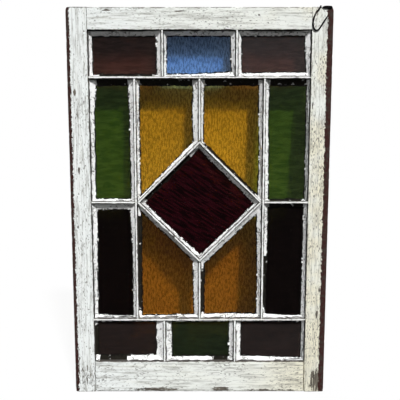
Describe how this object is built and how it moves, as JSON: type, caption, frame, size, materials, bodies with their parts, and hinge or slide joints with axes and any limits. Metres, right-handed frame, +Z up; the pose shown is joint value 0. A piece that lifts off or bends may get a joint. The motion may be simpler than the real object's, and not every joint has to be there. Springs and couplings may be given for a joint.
{
  "type": "stained glass window",
  "caption": "Upright painted wooden window sash with a diamond and rectangles of coloured glass set in putty between slender glazing bars, and a wire loop at one top corner.",
  "frame": {"origin": "middle of the sash's underside, halfway through its thickness", "axes": "+Z up along the stiles, +X to the right seen from the putty side, and the putty side faces -Y"},
  "size_m": [0.61, 0.0384, 0.9176],
  "materials": {
    "painted_wood": "old flaking off-white paint on softwood, with a bare dark red-brown strip down each outer edge",
    "putty": "hard painted linseed putty, chipped and cracked",
    "iron": "blackened iron",
    "glass_ruby": "dark ruby glass, slightly rippled",
    "glass_blue": "cobalt blue glass, slightly rippled",
    "glass_green": "deep green glass, slightly rippled",
    "glass_amber": "amber glass with a fine rippled face",
    "glass_dark_ruby": "nearly black ruby glass",
    "glass_maroon": "dark maroon glass with slanting ripples"
  },
  "bodies": {
    "root": {"stile_left": "painted_wood", "stile_right": "painted_wood", "rail_top": "painted_wood", "rail_bottom": "painted_wood", "bar_upper": "painted_wood", "bar_lower": "painted_wood", "upright_top_left": "painted_wood", "upright_top_right": "painted_wood", "upright_bottom_left": "painted_wood", "upright_bottom_right": "painted_wood", "upright_long_left": "painted_wood", "upright_long_right": "painted_wood", "upright_centre_upper": "painted_wood", "upright_centre_lower": "painted_wood", "crossbar_left": "painted_wood", "crossbar_right": "painted_wood", "diamond_bar_upper_left": "painted_wood", "diamond_bar_upper_right": "painted_wood", "diamond_bar_lower_left": "painted_wood", "diamond_bar_lower_right": "painted_wood", "pane_top_left": "glass_ruby", "pane_top_centre": "glass_blue", "pane_top_right": "glass_ruby", "pane_side_upper_left": "glass_green", "pane_side_upper_right": "glass_green", "pane_side_lower_left": "glass_dark_ruby", "pane_side_lower_right": "glass_dark_ruby", "pane_amber_upper_left": "glass_amber", "pane_amber_upper_right": "glass_amber", "pane_amber_lower_left": "glass_amber", "pane_amber_lower_right": "glass_amber", "pane_diamond": "glass_maroon", "pane_bottom_left": "glass_ruby", "pane_bottom_centre": "glass_green", "pane_bottom_right": "glass_ruby", "putty_top_left": "putty", "putty_top_centre": "putty", "putty_top_right": "putty", "putty_side_upper_left": "putty", "putty_side_upper_right": "putty", "putty_side_lower_left": "putty", "putty_side_lower_right": "putty", "putty_amber_upper_left": "putty", "putty_amber_upper_right": "putty", "putty_amber_lower_left": "putty", "putty_amber_lower_right": "putty", "putty_diamond": "putty", "putty_bottom_left": "putty", "putty_bottom_centre": "putty", "putty_bottom_right": "putty", "corner_strap": "iron", "corner_wire": "iron"}
  },
  "joints": []
}
